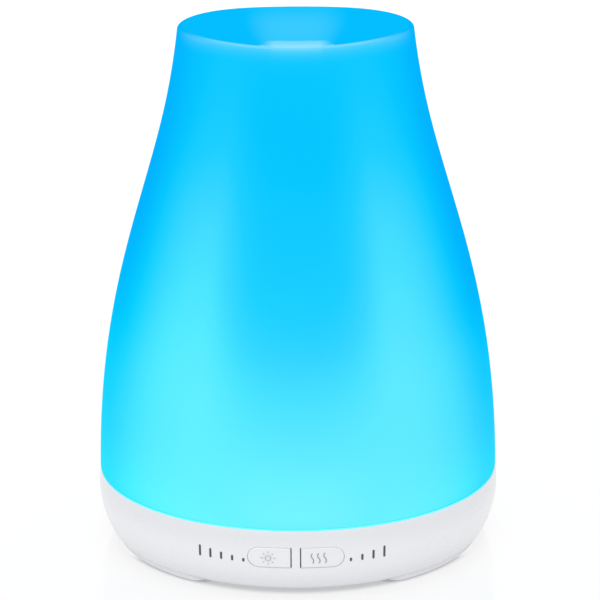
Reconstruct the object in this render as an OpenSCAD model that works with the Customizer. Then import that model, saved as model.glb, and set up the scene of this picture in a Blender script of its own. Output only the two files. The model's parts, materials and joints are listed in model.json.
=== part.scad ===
// Ultrasonic essential oil diffuser for a table, holding about 100 mL of water.
// Millimetres, +Z up, front towards -Y. The origin is the centre of the footprint on the table.

/* [Cover] */
// Radius of the body at the seam between base and cover
seam_r = 50; // [49.9:0.1:50.2]
// Height of the cover from the seam to the crest of its rim
cover_h = 111.3; // [108:0.1:114]
// Outer radius of the rim at the top
rim_r = 28.8; // [28:0.1:30]
// Wall thickness of the cover
cover_wall = 1.8; // [1.6:0.1:1.8]
// Depth of the dish below the crest of the rim
dish_depth = 10; // [9:0.1:12]
// Radius of the mist outlet in the middle of the dish
outlet_r = 9; // [8:0.5:9]
// Width of the lip in the front of the rim
lip_w = 18; // [14:0.5:22]
// Distance from front to back of the lip
lip_depth = 7.5; // [4:0.5:8]
// How far the front edge of the lip lies below the rim
lip_drop = 0.7; // [0.5:0.1:1.4]

/* [Base] */
// Wall thickness of the base shell
base_wall = 2; // [1.8:0.1:2]
// Height of the rubber feet
foot_h = 1.2; // [1:0.1:1.2]
// Width of each foot around the base, in degrees
foot_angle = 60; // [30:1:70]
// Radius of the opening for the power plug
plug_r = 4; // [3.5:0.1:4]

/* [Buttons] */
// Width of one button
button_w = 10.25; // [8:0.05:10.5]
// Height of one button
button_h = 5.3; // [4.5:0.1:5.5]
// Width of the bar between the buttons
bar_w = 2.5; // [2:0.1:3]
// Gap between a button and its window
button_gap = 0.15; // [0.1:0.05:0.2]
// How far the buttons stand proud of the base
button_proud = 0.15; // [0:0.05:0.3]

/* [Tank] */
// Height of the tank wall above its rim
tank_wall_h = 33; // [26:0.5:36]
// Height of the highest water line above the tank floor
fill_h = 20; // [15:0.5:22]
// Height of the air duct above the tank floor
duct_h = 30; // [26:0.5:32]

/* [Chimney] */
// Length of the mist chimney below the dish
chimney_len = 63; // [45:0.5:64]
// Radius of the chimney's bell mouth
bell_r = 14; // [11:0.5:16]

/* [Electronics] */
// Number of lights on the light board
led_count = 6; // [2:2:6]
// Number of blades on the fan
blade_count = 7; // [5:1:9]
// Angle of the fan blades to the fan's face
blade_pitch = 38; // [25:1:45]

/* [Hidden] */
$fn = 96;

cut = 1; // how far a cutter runs past the face it cuts
slip = 0.1; // clearance of parts that are put together by hand
bury = 0.5; // how far a shape runs into the one it stands on

// Heights above the table
shell_z = foot_h;
plate_top = 3;
base_top = 17.2;
seam_z = 17.5;
tank_flange_z = 15.6;
tank_floor_z = 20;
tank_floor_top = 22;
board_z = 6;
board_top = 7.6;
button_z = 10.5;
plug_z = 9.8;
crest_z = seam_z + cover_h;
dish_z = crest_z - dish_depth;

// Base shell: its outer wall is one arc
base_arc_r = 22.6;
base_arc_x = 27.8;
base_arc_z = 13.6;
base_steps = 16;
annulus_r = 37.7;
case_screw_r = 31;
case_screw_angles = [30, 150, 270];
case_head_r = 2.4;
case_shank_r = 1.25;
case_head_z = 1.4;
case_seat_z = 2.8;
case_seat_top = 4.2;
case_screw_tip = 11;
case_boss_r = 3.5;
case_boss_z = 4.3;
plate_ledge_r = 35.5;
plate_ledge_out_r = 39;
plate_ledge_top = 4.6;
tank_ledge_r = 46.2;
tank_ledge_z = 14.4;
groove_in_r = 46.7;
groove_out_r = 47.6;
groove_z = 14.9;
seal_gap = 0.05;
foot_in_r = 39.5;
foot_out_r = 46;
foot_angles = [-30, 90, 210];

// Power inlet in the back of the base
jack_y = 45.4;
jack_len = 12;
jack_w = 9;
jack_h = 8;
jack_z = plug_z - jack_h / 2;
jack_bore_r = 2.75;
jack_bore_len = 9.5;
jack_pin_r = 1.05;
jack_pin_inset = 1; // from the pin's tip to the socket's face
plug_face_y = 48.4;
cradle_y = 38.5;
cradle_len = 6;
cradle_side = 1;

// Buttons and their switches; distances are forwards from the axis of the body
window_back = 44;
window_front = seam_r + 2;
bar_back = 48.1;
flange_grow = 0.8;
flange_back = 45.1;
stem_r = 1.5;
plunger_front = 44.9;
plunger_gap = 0.05;
switch_front = 43.9;
switch_back = 40.4;
switch_w = 6;
plunger_r = 1.7;
plunger_back = 43.2;
plunger_bore_back = 42.5;
button_board_back = 39.2;
button_board_w = 28;
button_board_z = 5.2;
button_board_h = 10.3;
button_x = (bar_w + button_w) / 2;

// Tank
tank_flange_r = 47.9;
tank_rim_r = 49.7;
tank_wall_top = seam_z + tank_wall_h;
tank_skirt_r = 43.2;
tank_outer_r = [45.2, 44];
tank_inner_r = [42.6, 42];
tank_line = 0.3;
bead_in_r = 47.1;
bead_out_r = 47.6;
bead_h = 1.2;
duct_y = 32;
duct_r = 6;
duct_wall = 1.5;

// Ultrasonic disc and what holds it
disc_r = 10;
disc_z = [17.9, 19.1];
disc_window_r = 8;
pocket_r = 12.2;
pocket_wall = 2;
pocket_z = 15.5;
seal_r = 12.1;
seal_in_r = disc_window_r + 0.5;
seal_z = 17;
retainer_r = 18.3;
retainer_z = 14;
retainer_top = 15.4;
retainer_hole_r = 6;
retainer_screw_r = 16;
retainer_boss_r = 2.3;
retainer_screw_tip = 19.2;

// Light board: a ring with its gap at the back
led_ring_r = 40;
led_ring_w = 5.6;
led_board_z = 16;
led_board_top = 17.2;
led_gap_angle = 50;
led_size = 5;
led_h = 1.6;
led_spread = 50;
led_post_r = 1.6;
led_pin_r = 0.9;
led_post_angles = [10, 170, 270];

// Main board
board_w = 56;
board_front = -27;
board_back = -4;
board_posts = [[24.5, -21], [-24.5, -21], [24, -7.5], [-24, -7.5]];
post_r = 2.4;
coil_at = [-15, -21];
cap_at = [[-7.5, -21.5], [-1.5, -21.5]];
chip_at = [4, -12];
connector_h = 4;
transducer_plug = [-10, -7];
fan_plug = [12, -7];
power_plug = [24, -13.6];
light_plug = [-24, -13.6];
button_plug = [6.5, -24.6];
wire_r = 0.45;
wire_pitch = 1.2;
wire_lift = wire_r + 0.1; // from a wire's middle to the face it starts on
sink_x = [11.5, 21.5];
sink_y = [-26.3, -18.5];
sink_z = [8.4, 16];
sink_t = 1.5;

// Fan
fan_y = 14;
fan_size = 30;
fan_z = plate_top;
fan_h = 7;
fan_top = fan_z + fan_h;
fan_bore_r = 13.8;
fan_hole_at = 12;
fan_hole_r = 1.6;
fan_screw_tip = 2;
hub_r = 7;
hub_in_r = 6.3;
blade_r = 13.2;
blade_t = 0.9;
rotor_z = [4.6, 9.7];
rotor_cap_z = 8.9;
shaft_r = 0.75;
shaft_gap = 0.05;
bearing_r = 1.5;
tube_r = 2.2;

// Mist chimney
chimney_gap = 0.1;
chimney_wall = 1.65;
chimney_out_r = outlet_r + chimney_wall;
collar_t = 1.4;
collar_len = 8;
bell_h = 7;

cover_colour = [0.35, 0.85, 0.98, 0.9];
white = [0.94, 0.94, 0.95];
clear = [0.8, 0.92, 0.96, 0.6];
dark = [0.12, 0.12, 0.13];
pale_grey = [0.82, 0.82, 0.84];
steel = [0.75, 0.76, 0.78];
board_green = [0.1, 0.4, 0.22];

// ---------------------------------------------------------------- shapes that repeat

// Point at t of a cubic curve with ends a and d and handles b and c
function bezier(t, a, b, c, d) =
    pow(1 - t, 3) * a + 3 * t * pow(1 - t, 2) * b + 3 * t * t * (1 - t) * c + t * t * t * d;

// Direction of the same curve at t
function bezier_slope(t, a, b, c, d) =
    pow(1 - t, 2) * (b - a) + 2 * t * (1 - t) * (c - b) + t * t * (d - c);

function unit(v) = v / norm(v);

module ring(r_out, r_in, z0, z1) {
    translate([0, 0, z0]) difference() {
        cylinder(r = r_out, h = z1 - z0);
        translate([0, 0, -cut]) cylinder(r = r_in, h = z1 - z0 + 2 * cut);
    }
}

module rod(r, z0, z1) {
    translate([0, 0, z0]) cylinder(r = r, h = z1 - z0);
}

// Places its children at radius r at each of the angles
module around(r, angles) {
    for (a = angles) rotate([0, 0, a]) translate([r, 0, 0]) children();
}

// Round head below a straight shank, pointing up
module screw(head_r, shank_r, z_head, z_seat, z_tip) {
    slot = [head_r * 1.4, 0.5, cut + 0.5];
    difference() {
        union() {
            rod(head_r, z_head, z_seat);
            rod(shank_r, z_seat - bury, z_tip);
        }
        for (a = [0, 90]) rotate([0, 0, a]) translate([-slot[0] / 2, -slot[1] / 2, z_head - cut]) cube(slot);
    }
}

// Round wire through a curve with ends a and d and handles b and c
module wire(a, b, c, d) {
    steps = 7;
    for (i = [0:steps - 1]) hull() {
        translate(bezier(i / steps, a, b, c, d)) sphere(wire_r, $fn = 8);
        translate(bezier((i + 1) / steps, a, b, c, d)) sphere(wire_r, $fn = 8);
    }
}

// ---------------------------------------------------------------- cover

cover_curve = [
    [seam_r + 0.1, 0],
    [seam_r - 0.6, cover_h * 0.485],
    [rim_r + 4.3, cover_h * 0.665],
    [rim_r, cover_h - cover_wall / 2]
];
cover_steps = 26;

function cover_outer(t) = bezier(t, cover_curve[0], cover_curve[1], cover_curve[2], cover_curve[3]);

function cover_normal(t) =
    let (d = unit(bezier_slope(t, cover_curve[0], cover_curve[1], cover_curve[2], cover_curve[3])))
    [d[1], -d[0]];

function cover_inner(t) = cover_outer(t) - cover_wall * cover_normal(t);

// Dish from the rim to the outlet: a quarter of an ellipse
dish_steps = 14;
dish_rim_r = rim_r - cover_wall;
dish_rim_z = cover_h - cover_wall / 2;
function dish(a, drop) = [
    outlet_r + (dish_rim_r - outlet_r) * cos(a) - drop * cos(a) * 0.4,
    dish_rim_z - (dish_depth - cover_wall / 2) * sin(a) - drop
];

// Half-round crest of the rim
function crest(a) = [rim_r - cover_wall / 2 * (1 - cos(a)), dish_rim_z + cover_wall / 2 * sin(a)];

inner_end = 0.93; // where the inside of the wall meets the underside of the dish
lip_back_drop = 0.1; // how far the back edge of the lip lies below the rim

module cover_outline() {
    polygon(concat(
        [for (i = [0:cover_steps]) cover_outer(i / cover_steps)],
        [for (i = [1:8]) crest(i * 22.5)],
        [for (i = [1:dish_steps]) dish(90 * i / dish_steps, 0)],
        [for (i = [dish_steps:-1:5]) dish(90 * i / dish_steps, cover_wall)],
        [for (i = [cover_steps:-1:1]) cover_inner(inner_end * i / cover_steps)],
        [[cover_inner(0)[0], 0]]
    ));
}

// The lip: a block that fills the front of the dish behind the rim
module lip_block() {
    lip_r = 2.5;
    translate([0, 0, dish_z + cut]) linear_extrude(dish_depth - cut) union() {
        translate([-lip_w / 2, -rim_r]) square([lip_w, lip_depth - lip_r]);
        translate([-lip_w / 2 + lip_r, -rim_r]) square([lip_w - 2 * lip_r, lip_depth]);
        for (x = [-1, 1]) translate([x * (lip_w / 2 - lip_r), -rim_r + lip_depth - lip_r]) circle(lip_r);
    }
}

// Wedge, wider than the lip, that makes the top of the lip slope down towards the front
module lip_cut() {
    w = lip_w + 2 * bury;
    rise = atan((lip_drop - lip_back_drop) / lip_depth);
    translate([-w / 2, -rim_r, crest_z - lip_drop]) rotate([rise, 0, 0])
        translate([0, -3 * cut, 0]) cube([w, lip_depth + 4 * cut, 3 * cut]);
}

module outer_cover() {
    color(cover_colour) union() {
        difference() {
            union() {
                translate([0, 0, seam_z]) rotate_extrude() cover_outline();
                intersection() {
                    lip_block();
                    rod(rim_r - 0.4, dish_z, crest_z);
                }
            }
            lip_cut();
        }
        // Collar under the dish that holds the chimney
        ring(chimney_out_r + chimney_gap + collar_t, chimney_out_r + chimney_gap,
            dish_z - cover_wall - collar_len, dish_z - cover_wall + bury);
    }
}

module mist_chimney() {
    top = dish_z - cover_wall - 0.05;
    bottom = top - chimney_len;
    color(clear) rotate_extrude() polygon([
        [outlet_r, top],
        [outlet_r, bottom + bell_h],
        [bell_r - chimney_wall * 0.8, bottom],
        [bell_r, bottom],
        [chimney_out_r, bottom + bell_h],
        [chimney_out_r, top]
    ]);
}

// ---------------------------------------------------------------- base

// Radius of the base's outer arc at height z, moved in by inset
function base_r(z, inset = 0) =
    base_arc_x + sqrt(pow(base_arc_r - inset, 2) - pow(z - base_arc_z, 2));

// Heights spread evenly from z0 to z1
function heights(z0, z1) = [for (i = [0:base_steps]) z0 + (z1 - z0) * i / base_steps];

// Solid with the base's outer arc, moved in by inset
module base_solid(inset, z0, z1) {
    rotate_extrude() polygon(concat(
        [[0, z0]],
        [for (z = heights(z0, z1)) [base_r(z, inset), z]],
        [[0, z1]]
    ));
}

module base_outline() {
    polygon(concat(
        [for (z = heights(shell_z, base_top)) [base_r(z), z]],
        [for (z = heights(base_top, plate_top)) [base_r(z, base_wall), z]],
        [[annulus_r, plate_top], [annulus_r, shell_z]]
    ));
}

// Outline of the right-hand button: flat side at the bar, round end outside
module button_outline(grow) {
    end_x = bar_w / 2 + button_w - button_h / 2;
    r = button_h / 2 + grow;
    translate([bar_w / 2 - grow, -r]) square([end_x - bar_w / 2 + grow, 2 * r]);
    translate([end_x, 0]) circle(r);
}

// The same outline as a bar along Y, between distances y0 and y1 in front of the axis
module button_bar(side, grow, y0, y1) {
    translate([0, -y0, button_z]) rotate([90, 0, 0]) linear_extrude(y1 - y0)
        mirror([side < 0 ? 1 : 0, 0]) button_outline(grow);
}

module base_shell() {
    rail = [2.4, 4.4, 11];
    rail_x = button_board_w / 2 + 0.4;
    rail_front = 42;
    cradle_x = jack_w / 2 + slip;
    slot_x = button_board_w / 2 + slip;
    color(white) difference() {
        union() {
            rotate_extrude() base_outline();
            ring(plate_ledge_out_r, plate_ledge_r, plate_top, plate_ledge_top);
            tank_ledge();
            // Collar behind the power opening
            translate([0, jack_y + slip, plug_z]) rotate([-90, 0, 0])
                cylinder(r = plug_r + 1, h = plug_face_y - jack_y - 2 * slip);
            // Cradle under the power socket
            translate([-cradle_x - cradle_side, cradle_y, plate_top - bury])
                cube([2 * (cradle_x + cradle_side), cradle_len, jack_z - plate_top + bury]);
            for (x = [-cradle_x - cradle_side, cradle_x]) translate([x, cradle_y, plate_top])
                cube([cradle_side, cradle_len, jack_z - plate_top + jack_h / 2]);
            // Rails that hold the button board upright
            for (x = [-rail_x, rail_x]) translate([x - rail[0] / 2, -rail_front, plate_top - bury])
                cube(rail);
        }
        for (side = [-1, 1]) button_bar(side, button_gap, window_back, window_front);
        // Flat back of the bar between the windows
        translate([-bar_w / 2, -bar_back, button_z - button_h / 2 - slip])
            cube([bar_w, bar_back - window_back, button_h + 2 * slip]);
        // Slot in the rails for the button board
        translate([-slot_x, -switch_back - slip, button_board_z])
            cube([2 * slot_x, switch_back - button_board_back + 2 * slip, rail[2]]);
        // Power opening and its flat outer face
        translate([0, jack_y - cut, plug_z]) rotate([-90, 0, 0])
            cylinder(r = plug_r, h = seam_r - jack_y + 2 * cut);
        translate([0, plug_face_y, plug_z]) rotate([-90, 0, 0])
            cylinder(r = plug_r + 1, h = seam_r - plug_face_y + cut);
        // Groove for the tank seal
        ring(groove_out_r, groove_in_r, groove_z, tank_flange_z + cut);
    }
}

// Ledge that carries the tank's flange; its outside is buried in the wall
module tank_ledge() {
    difference() {
        base_solid(base_wall / 2, tank_ledge_z, tank_flange_z);
        rod(tank_ledge_r, tank_ledge_z - cut, tank_flange_z + cut);
    }
}

module rubber_feet() {
    color(pale_grey) for (a = foot_angles) rotate([0, 0, a - foot_angle / 2])
        rotate_extrude(angle = foot_angle) translate([foot_in_r, 0]) square([foot_out_r - foot_in_r, foot_h]);
}

module bottom_plate() {
    grille_r = 12.5;
    slot_w = 1.6;
    slot_pitch = 2.8;
    pilot_r = 0.9;
    fan_pilot_r = 1.3;
    color(white) difference() {
        union() {
            rod(annulus_r - slip * 2, shell_z, plate_top);
            around(case_screw_r, case_screw_angles) rod(case_boss_r, plate_top - bury, case_seat_top);
            for (p = board_posts) translate(p) rod(post_r, plate_top - bury, board_z);
        }
        // Air intake under the fan
        intersection() {
            translate([0, fan_y, 0]) ring(grille_r, hub_r, shell_z - cut, plate_top + cut);
            for (i = [-4:4])
                translate([i * slot_pitch - slot_w / 2, fan_y - fan_size / 2, shell_z - 2 * cut])
                    cube([slot_w, fan_size, plate_top + 2 * cut]);
        }
        around(case_screw_r, case_screw_angles) {
            rod(case_head_r + 0.3, shell_z - cut, case_seat_z);
            rod(case_shank_r + 0.25, shell_z, case_seat_top + cut);
        }
        for (p = board_posts) translate(p) rod(pilot_r, plate_top, board_z + cut);
        for (s = [-1, 1]) translate([s * fan_hole_at, fan_y + s * fan_hole_at, 0])
            rod(fan_pilot_r, fan_screw_tip - 0.2, plate_top + cut);
    }
}

module case_screws() {
    color(steel) around(case_screw_r, case_screw_angles)
        screw(case_head_r, case_shank_r, case_head_z, case_seat_z, case_screw_tip);
}

// ---------------------------------------------------------------- buttons and switches

module push_button(side) {
    color(white) union() {
        intersection() {
            button_bar(side, 0, flange_back, window_front);
            base_solid(-button_proud, button_z - button_h, button_z + button_h);
        }
        intersection() {
            button_bar(side, flange_grow, flange_back, window_front);
            base_solid(base_wall + slip, button_z - button_h, button_z + button_h);
        }
        translate([side * button_x, -flange_back - bury, button_z]) rotate([-90, 0, 0])
            cylinder(r = stem_r, h = flange_back + bury - plunger_front - plunger_gap);
    }
}

module light_button() { push_button(-1); }

module mist_button() { push_button(1); }

module switch_body(side) {
    color(dark) difference() {
        translate([side * button_x - switch_w / 2, -switch_front, button_z - switch_w / 2])
            cube([switch_w, switch_front - switch_back, switch_w]);
        translate([side * button_x, -switch_front - cut, button_z]) rotate([-90, 0, 0])
            cylinder(r = plunger_r + plunger_gap, h = switch_front - plunger_bore_back + cut);
    }
}

module light_switch_body() { switch_body(-1); }

module mist_switch_body() { switch_body(1); }

module switch_plunger(side) {
    color(dark) translate([side * button_x, -plunger_front, button_z]) rotate([-90, 0, 0])
        cylinder(r = plunger_r, h = plunger_front - plunger_back);
}

module light_switch_plunger() { switch_plunger(-1); }

module mist_switch_plunger() { switch_plunger(1); }

module button_board() {
    color(board_green) translate([-button_board_w / 2, -switch_back, button_board_z])
        cube([button_board_w, switch_back - button_board_back, button_board_h]);
}

// ---------------------------------------------------------------- tank

module tank_outline() {
    polygon([
        [disc_window_r, tank_floor_z],
        [disc_window_r, tank_floor_top],
        [tank_inner_r[0], tank_floor_top],
        [tank_inner_r[1], tank_wall_top],
        [tank_outer_r[1], tank_wall_top],
        [tank_outer_r[0], seam_z],
        [bead_in_r, seam_z],
        [bead_in_r, seam_z + bead_h],
        [bead_out_r, seam_z + bead_h],
        [bead_out_r, seam_z],
        [tank_rim_r, seam_z],
        [tank_rim_r, base_top],
        [tank_flange_r, base_top],
        [tank_flange_r, tank_flange_z],
        [tank_skirt_r, tank_flange_z],
        [tank_skirt_r, tank_floor_z],
        [pocket_r + pocket_wall, tank_floor_z],
        [pocket_r + pocket_wall, pocket_z],
        [pocket_r, pocket_z],
        [pocket_r, tank_floor_z]
    ]);
}

module water_tank() {
    root_z = tank_floor_z + bury;
    case_pilot_r = 1.3;
    retainer_pilot_r = 0.75;
    color(clear) difference() {
        union() {
            rotate_extrude() tank_outline();
            translate([0, duct_y, 0]) rod(duct_r + duct_wall, root_z, tank_floor_top + duct_h);
            around(case_screw_r, case_screw_angles) rod(case_boss_r, case_boss_z, root_z);
            around(retainer_screw_r, case_screw_angles) rod(retainer_boss_r, pocket_z, root_z);
            around(led_ring_r, led_post_angles) rod(led_post_r, led_board_top, root_z);
            around(led_ring_r, led_post_angles) rod(led_pin_r, led_board_z - 0.3, tank_floor_z);
            fill_line();
        }
        translate([0, duct_y, 0]) rod(duct_r, tank_floor_z - cut, tank_floor_top + duct_h + cut);
        around(case_screw_r, case_screw_angles)
            rod(case_pilot_r, case_boss_z - cut, case_screw_tip + 1);
        around(retainer_screw_r, case_screw_angles)
            rod(retainer_pilot_r, pocket_z - cut, retainer_screw_tip + 0.2);
    }
}

// Raised line on the inside of the wall at the highest water level
module fill_line() {
    z = tank_floor_top + fill_h;
    ring(tank_outer_r[1] - 0.5, tank_inner_r[1] - tank_line, z, z + 2 * tank_line);
}

module tank_seal() {
    color(dark) ring(groove_out_r - seal_gap, groove_in_r + seal_gap, groove_z + seal_gap, tank_flange_z);
}

module ultrasonic_disc() {
    color(steel) rod(disc_r, disc_z[0], disc_z[1]);
}

module disc_seal() {
    color(dark) rotate_extrude() polygon([
        [seal_in_r, seal_z], [seal_r, seal_z], [seal_r, tank_floor_z], [seal_in_r, tank_floor_z],
        [seal_in_r, disc_z[1]], [disc_r, disc_z[1]], [disc_r, disc_z[0]], [seal_in_r, disc_z[0]]
    ]);
}

module disc_retainer() {
    color(white) difference() {
        union() {
            ring(retainer_r, retainer_hole_r, retainer_z, retainer_top);
            ring(seal_r - slip, seal_in_r, retainer_top - bury, seal_z);
        }
        around(retainer_screw_r, case_screw_angles) rod(1, retainer_z - cut, retainer_top + cut);
    }
}

module retainer_screws() {
    color(steel) around(retainer_screw_r, case_screw_angles)
        screw(head_r = 1.8, shank_r = 0.7, z_head = 12.8, z_seat = retainer_z, z_tip = retainer_screw_tip);
}

// ---------------------------------------------------------------- lights

module led_board() {
    color(white) difference() {
        rotate([0, 0, 90 + led_gap_angle / 2]) rotate_extrude(angle = 360 - led_gap_angle)
            translate([led_ring_r - led_ring_w / 2, led_board_z])
                square([led_ring_w, led_board_top - led_board_z]);
        around(led_ring_r, led_post_angles) rod(led_pin_r + 0.1, led_board_z - cut, led_board_top + cut);
    }
}

module leds() {
    lens_r = led_size * 0.38;
    lens_depth = 0.4;
    color("lightyellow") for (side = [-1, 1], i = [0:led_count / 2 - 1])
        rotate([0, 0, -90 + side * led_spread * (i + 0.5)])
            translate([led_ring_r - led_size / 2, -led_size / 2, led_board_top]) difference() {
                cube([led_size, led_size, led_h]);
                translate([led_size / 2, led_size / 2, 0]) rod(lens_r, led_h - lens_depth, led_h + cut);
            }
}

// ---------------------------------------------------------------- main board

module main_board() {
    color(board_green) difference() {
        translate([-board_w / 2, board_front, board_z])
            cube([board_w, board_back - board_front, board_top - board_z]);
        for (p = board_posts) translate(p) rod(1, board_z - cut, board_top + cut);
    }
}

module board_screws() {
    head_r = 1.8;
    head_h = 1.2;
    shank_r = 0.85;
    color(steel) for (p = board_posts) translate(p) {
        rod(head_r, board_top, board_top + head_h);
        rod(shank_r, plate_top + 0.4, board_top + bury);
    }
}

module driver_coil() {
    coil_h = 5;
    flange_r = 4;
    flange_t = 0.9;
    core_r = 3.1;
    color([0.2, 0.2, 0.22]) translate([coil_at[0], coil_at[1], board_top]) {
        rod(flange_r, 0, flange_t);
        rod(core_r, flange_t - bury, coil_h - flange_t + bury);
        rod(flange_r, coil_h - flange_t, coil_h);
    }
}

module capacitors() {
    can_r = 2.5;
    can_h = 7.5;
    crown_r = 2.2;
    crown_h = 0.3;
    color([0.15, 0.18, 0.35]) for (p = cap_at) translate([p[0], p[1], board_top]) {
        rod(can_r, 0, can_h);
        rod(crown_r, can_h - bury, can_h + crown_h);
    }
}

module power_transistor() {
    body = [6.2, 2.6, 5.6];
    body_z = 10.2;
    lead_w = 0.8;
    lead_pitch = 2.2;
    middle_x = (sink_x[0] + sink_x[1]) / 2;
    middle_y = sink_y[1] - sink_t - body[1] / 2;
    color(dark) translate([middle_x, middle_y, 0]) union() {
        translate([-body[0] / 2, -body[1] / 2, body_z]) cube(body);
        for (i = [-1, 0, 1]) translate([i * lead_pitch - lead_w / 2, -lead_w / 2, board_top])
            cube([lead_w, lead_w, body_z - board_top + bury]);
    }
}

module transistor_heatsink() {
    w = sink_x[1] - sink_x[0];
    d = sink_y[1] - sink_y[0];
    h = sink_z[1] - sink_z[0];
    leg_w = 0.9;
    leg_inset = 0.3;
    color(steel) translate([sink_x[0], sink_y[0], sink_z[0]]) union() {
        translate([0, d - sink_t, 0]) cube([w, sink_t, h]);
        for (x = [0, w - sink_t]) translate([x, 0, 0]) cube([sink_t, d - sink_t + bury, h]);
        for (x = [leg_inset, w - leg_inset - leg_w])
            translate([x, d - leg_inset - leg_w, board_top - sink_z[0]])
                cube([leg_w, leg_w, sink_z[0] - board_top + bury]);
    }
}

module control_chip() {
    body = [8.6, 4, 1.5];
    body_lift = 0.15;
    pin = [0.4, 1.8, 0.5];
    pin_pitch = 1.2;
    pin_y = 2.3;
    color(dark) translate([chip_at[0], chip_at[1], board_top]) {
        translate([-body[0] / 2, -body[1] / 2, body_lift]) cube(body);
        for (i = [-3:3], y = [-pin_y, pin_y])
            translate([i * pin_pitch - pin[0] / 2, y - pin[1] / 2, 0]) cube(pin);
    }
}

// Plug header of size w by d, open at the top
module connector(at, w, d) {
    wall = 0.7;
    floor_t = 1;
    translate([at[0] - w / 2, at[1] - d / 2, board_top]) difference() {
        cube([w, d, connector_h]);
        translate([wall, wall, floor_t]) cube([w - 2 * wall, d - 2 * wall, connector_h]);
    }
}

module board_connectors() {
    color("ivory") {
        connector(transducer_plug, 7, 4.6);
        connector(fan_plug, 7, 4.6);
        connector(power_plug, 4.6, 6.4);
        connector(light_plug, 4.6, 6.4);
        connector(button_plug, 7, 4);
    }
}

// ---------------------------------------------------------------- fan

module fan_frame() {
    spider_r = 6;
    spider_t = 1;
    spoke_w = 2;
    tube_top = 8.4;
    color(dark) translate([0, fan_y, 0]) union() {
        difference() {
            translate([-fan_size / 2, -fan_size / 2, fan_z]) cube([fan_size, fan_size, fan_h]);
            rod(fan_bore_r, fan_z - cut, fan_top + cut);
            for (x = [-1, 1], y = [-1, 1]) translate([x * fan_hole_at, y * fan_hole_at, 0])
                rod(fan_hole_r, fan_z - cut, fan_top + cut);
        }
        ring(tube_r, bearing_r, fan_z + spider_t - bury, tube_top);
        rod(spider_r, fan_z, fan_z + spider_t);
        for (a = [60, 180, 300]) rotate([0, 0, a]) translate([spider_r - bury, -spoke_w / 2, fan_z])
            cube([fan_bore_r - spider_r + 2 * bury, spoke_w, spider_t]);
    }
}

module fan_bearing() {
    color("goldenrod") translate([0, fan_y, 0]) ring(bearing_r, shaft_r + shaft_gap, fan_z + 1, 8.6);
}

// Core with four arms, each with a wider shoe at its end
module fan_stator() {
    core_r = 3.1;
    stator_r = 5.6;
    shoe_in_r = 4.7;
    z = [4.7, 7.9];
    arm_w = 2;
    shoe_w = 4.6;
    shoe_inset = 0.2;
    color([0.6, 0.35, 0.2]) translate([0, fan_y, 0]) difference() {
        union() {
            rod(core_r, z[0], z[1]);
            intersection() {
                rod(stator_r, z[0], z[1]);
                for (a = [0, 90]) rotate([0, 0, a]) translate([-hub_r, -arm_w / 2, z[0]])
                    cube([2 * hub_r, arm_w, z[1] - z[0]]);
            }
            for (a = [0:90:270]) rotate([0, 0, a]) intersection() {
                ring(stator_r, shoe_in_r, z[0] + shoe_inset, z[1] - shoe_inset);
                translate([shoe_in_r - cut, -shoe_w / 2, z[0]]) cube([hub_r, shoe_w, z[1] - z[0]]);
            }
        }
        rod(tube_r + slip / 2, z[0] - cut, z[1] + cut);
    }
}

module fan_rotor() {
    span = [hub_r - 0.4, blade_r];
    color([0.2, 0.2, 0.22]) translate([0, fan_y, 0]) difference() {
        union() {
            ring(hub_r, hub_in_r, rotor_z[0], rotor_z[1]);
            rod(hub_r, rotor_cap_z, rotor_z[1]);
            intersection() {
                ring(span[1], span[0], rotor_z[0], rotor_z[1] - 0.2);
                for (i = [0:blade_count - 1]) rotate([0, 0, i * 360 / blade_count])
                    translate([span[0] - 0.5, 0, (rotor_z[0] + rotor_z[1]) / 2]) rotate([blade_pitch, 0, 0])
                        translate([0, -5, -blade_t / 2]) cube([span[1] - span[0] + 2, 10, blade_t]);
            }
        }
        rod(shaft_r, fan_z, rotor_z[1] + cut);
    }
}

module fan_shaft() {
    color(steel) translate([0, fan_y, 0]) rod(shaft_r, fan_z + 1 + slip, rotor_z[1]);
}

module fan_screws() {
    head_r = 2.3;
    head_h = 1.1;
    shank_r = 1.2;
    color(steel) for (s = [-1, 1]) translate([s * fan_hole_at, fan_y + s * fan_hole_at, 0]) {
        rod(head_r, fan_top, fan_top + head_h);
        rod(shank_r, fan_screw_tip, fan_top + bury);
    }
}

// ---------------------------------------------------------------- power socket

module dc_jack_body() {
    color(dark) difference() {
        translate([-jack_w / 2, jack_y - jack_len, jack_z]) cube([jack_w, jack_len, jack_h]);
        translate([0, jack_y - jack_bore_len, plug_z]) rotate([-90, 0, 0])
            cylinder(r = jack_bore_r, h = jack_bore_len + cut);
    }
}

module dc_jack_pin() {
    color(steel) translate([0, jack_y - jack_bore_len, plug_z]) rotate([-90, 0, 0])
        cylinder(r = jack_pin_r, h = jack_bore_len - jack_pin_inset);
}

// ---------------------------------------------------------------- leads

// Height at which a wire's end hangs above a connector's floor
wire_end_z = board_top + 2;

// Point over a connector at height z, shifted by dx and dy
function over(plug, z, dx = 0, dy = 0) = [plug[0] + dx, plug[1] + dy, z];

module transducer_leads() {
    color("firebrick") for (dx = [-wire_pitch, wire_pitch])
        wire([sign(dx) * 2, 0, disc_z[0] - wire_lift], [sign(dx) * 2, 0, 9],
            over(transducer_plug, 16, dx), over(transducer_plug, wire_end_z, dx));
}

module fan_leads() {
    start = [fan_size / 2 + 0.6, 3, 6];
    color("firebrick") for (s = [-1, 1])
        wire(start + [0, s * 0.7, 0], start + [5.4, s * 0.7 - 2, 0],
            over(fan_plug, 18, s * wire_pitch), over(fan_plug, wire_end_z, s * wire_pitch));
}

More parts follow.
